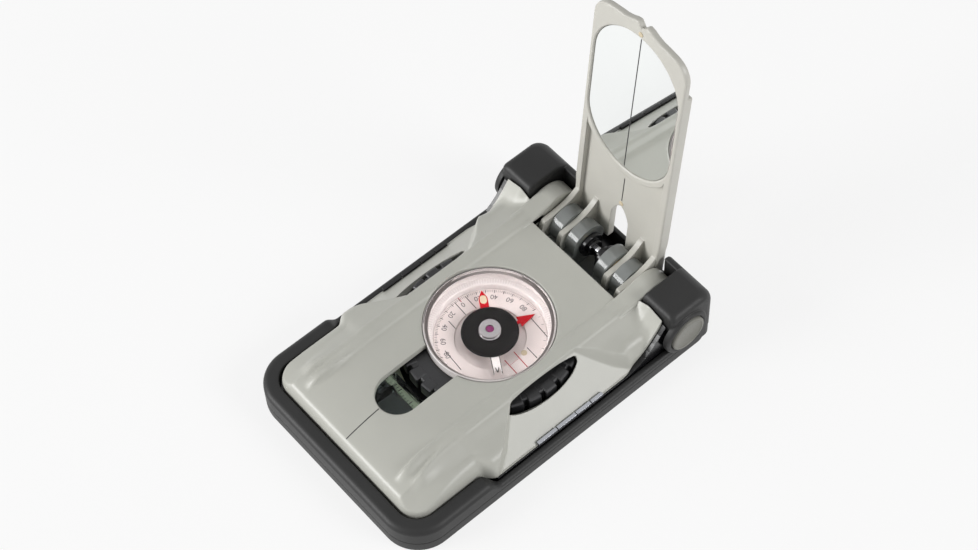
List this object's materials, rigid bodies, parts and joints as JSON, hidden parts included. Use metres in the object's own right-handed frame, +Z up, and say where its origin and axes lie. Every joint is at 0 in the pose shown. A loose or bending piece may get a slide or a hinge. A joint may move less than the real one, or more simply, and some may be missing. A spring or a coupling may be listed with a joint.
{
  "type": "mirror compass",
  "caption": "Pocket mirror compass in an armoured case, with a turning dial capsule, a free needle, a clinometer pointer and a hinged mirror lid.",
  "frame": {"origin": "on the dial's axis at the underside of the armoured case", "axes": "+Z up out of the dial, +Y from the dial to the hinge, +X to the right"},
  "size_m": [0.047, 0.0724, 0.0645],
  "materials": {
    "armour_rubber": "satin black rubber",
    "black_gloss": "gloss black",
    "housing_grey": "satin warm grey",
    "lid_grey": "satin light grey",
    "cap_grey": "matt grey",
    "clear_plastic": "clear polished",
    "silver_plastic": "silver",
    "steel": "polished",
    "brass": "plain",
    "knurl_black": "matt black",
    "scale_cream": "cream, black print",
    "dial_white": "white, black and red print",
    "needle_red": "red and white lacquer",
    "needle_black": "matt black lacquer",
    "boss_silver": "turned",
    "jewel": "ruby",
    "luminous": "luminous cream",
    "mirror": "polished"
  },
  "bodies": {
    "root": {"armour_tray": "armour_rubber", "inner_base": "black_gloss", "top_housing": "housing_grey", "housing_screws": "steel", "hinge_knuckles": "clear_plastic", "hinge_axle": "steel", "axle_collars": "black_gloss", "friction_washers": "brass", "axle_cap_left": "cap_grey", "axle_cap_right": "cap_grey", "side_strip_left": "silver_plastic", "side_strip_right": "silver_plastic", "window_lens": "clear_plastic", "lens_mount": "black_gloss", "dial_retainer": "steel", "retainer_screws": "steel"},
    "dial": {"dial_ring": "knurl_black", "bearing_scale_ring": "scale_cream", "capsule_bowl": "clear_plastic", "capsule_top": "clear_plastic", "capsule_seal": "knurl_black", "orienting_disc": "dial_white", "pivot_post": "steel"},
    "needle": {"needle_arms": "needle_red", "needle_disc": "needle_black", "needle_boss": "boss_silver", "needle_jewel": "jewel", "needle_glow": "luminous", "needle_magnet": "steel"},
    "clinometer": {"clinometer_pointer": "needle_red", "clinometer_bush": "brass"},
    "lid": {"lid_frame": "lid_grey", "mirror_glass": "mirror", "mirror_pad": "knurl_black", "sight_dots": "luminous"}
  },
  "joints": [
    {"name": "lid_hinge", "type": "hinge", "parent": "root", "child": "lid", "pos_m": [0, 0.0256, 0.00788], "axis": [1, 0, 0], "range_deg": [-33, 95]},
    {"name": "dial_turn", "type": "hinge", "parent": "root", "child": "dial", "pos_m": [0, 0, 0.005], "axis": [0, 0, 1], "continuous": true},
    {"name": "needle_swing", "type": "hinge", "parent": "dial", "child": "needle", "pos_m": [0, 0, 0.008], "axis": [0, 0, 1], "continuous": true},
    {"name": "clinometer_swing", "type": "hinge", "parent": "dial", "child": "clinometer", "pos_m": [0, 0, 0.0066], "axis": [0, 0, 1], "continuous": true}
  ]
}
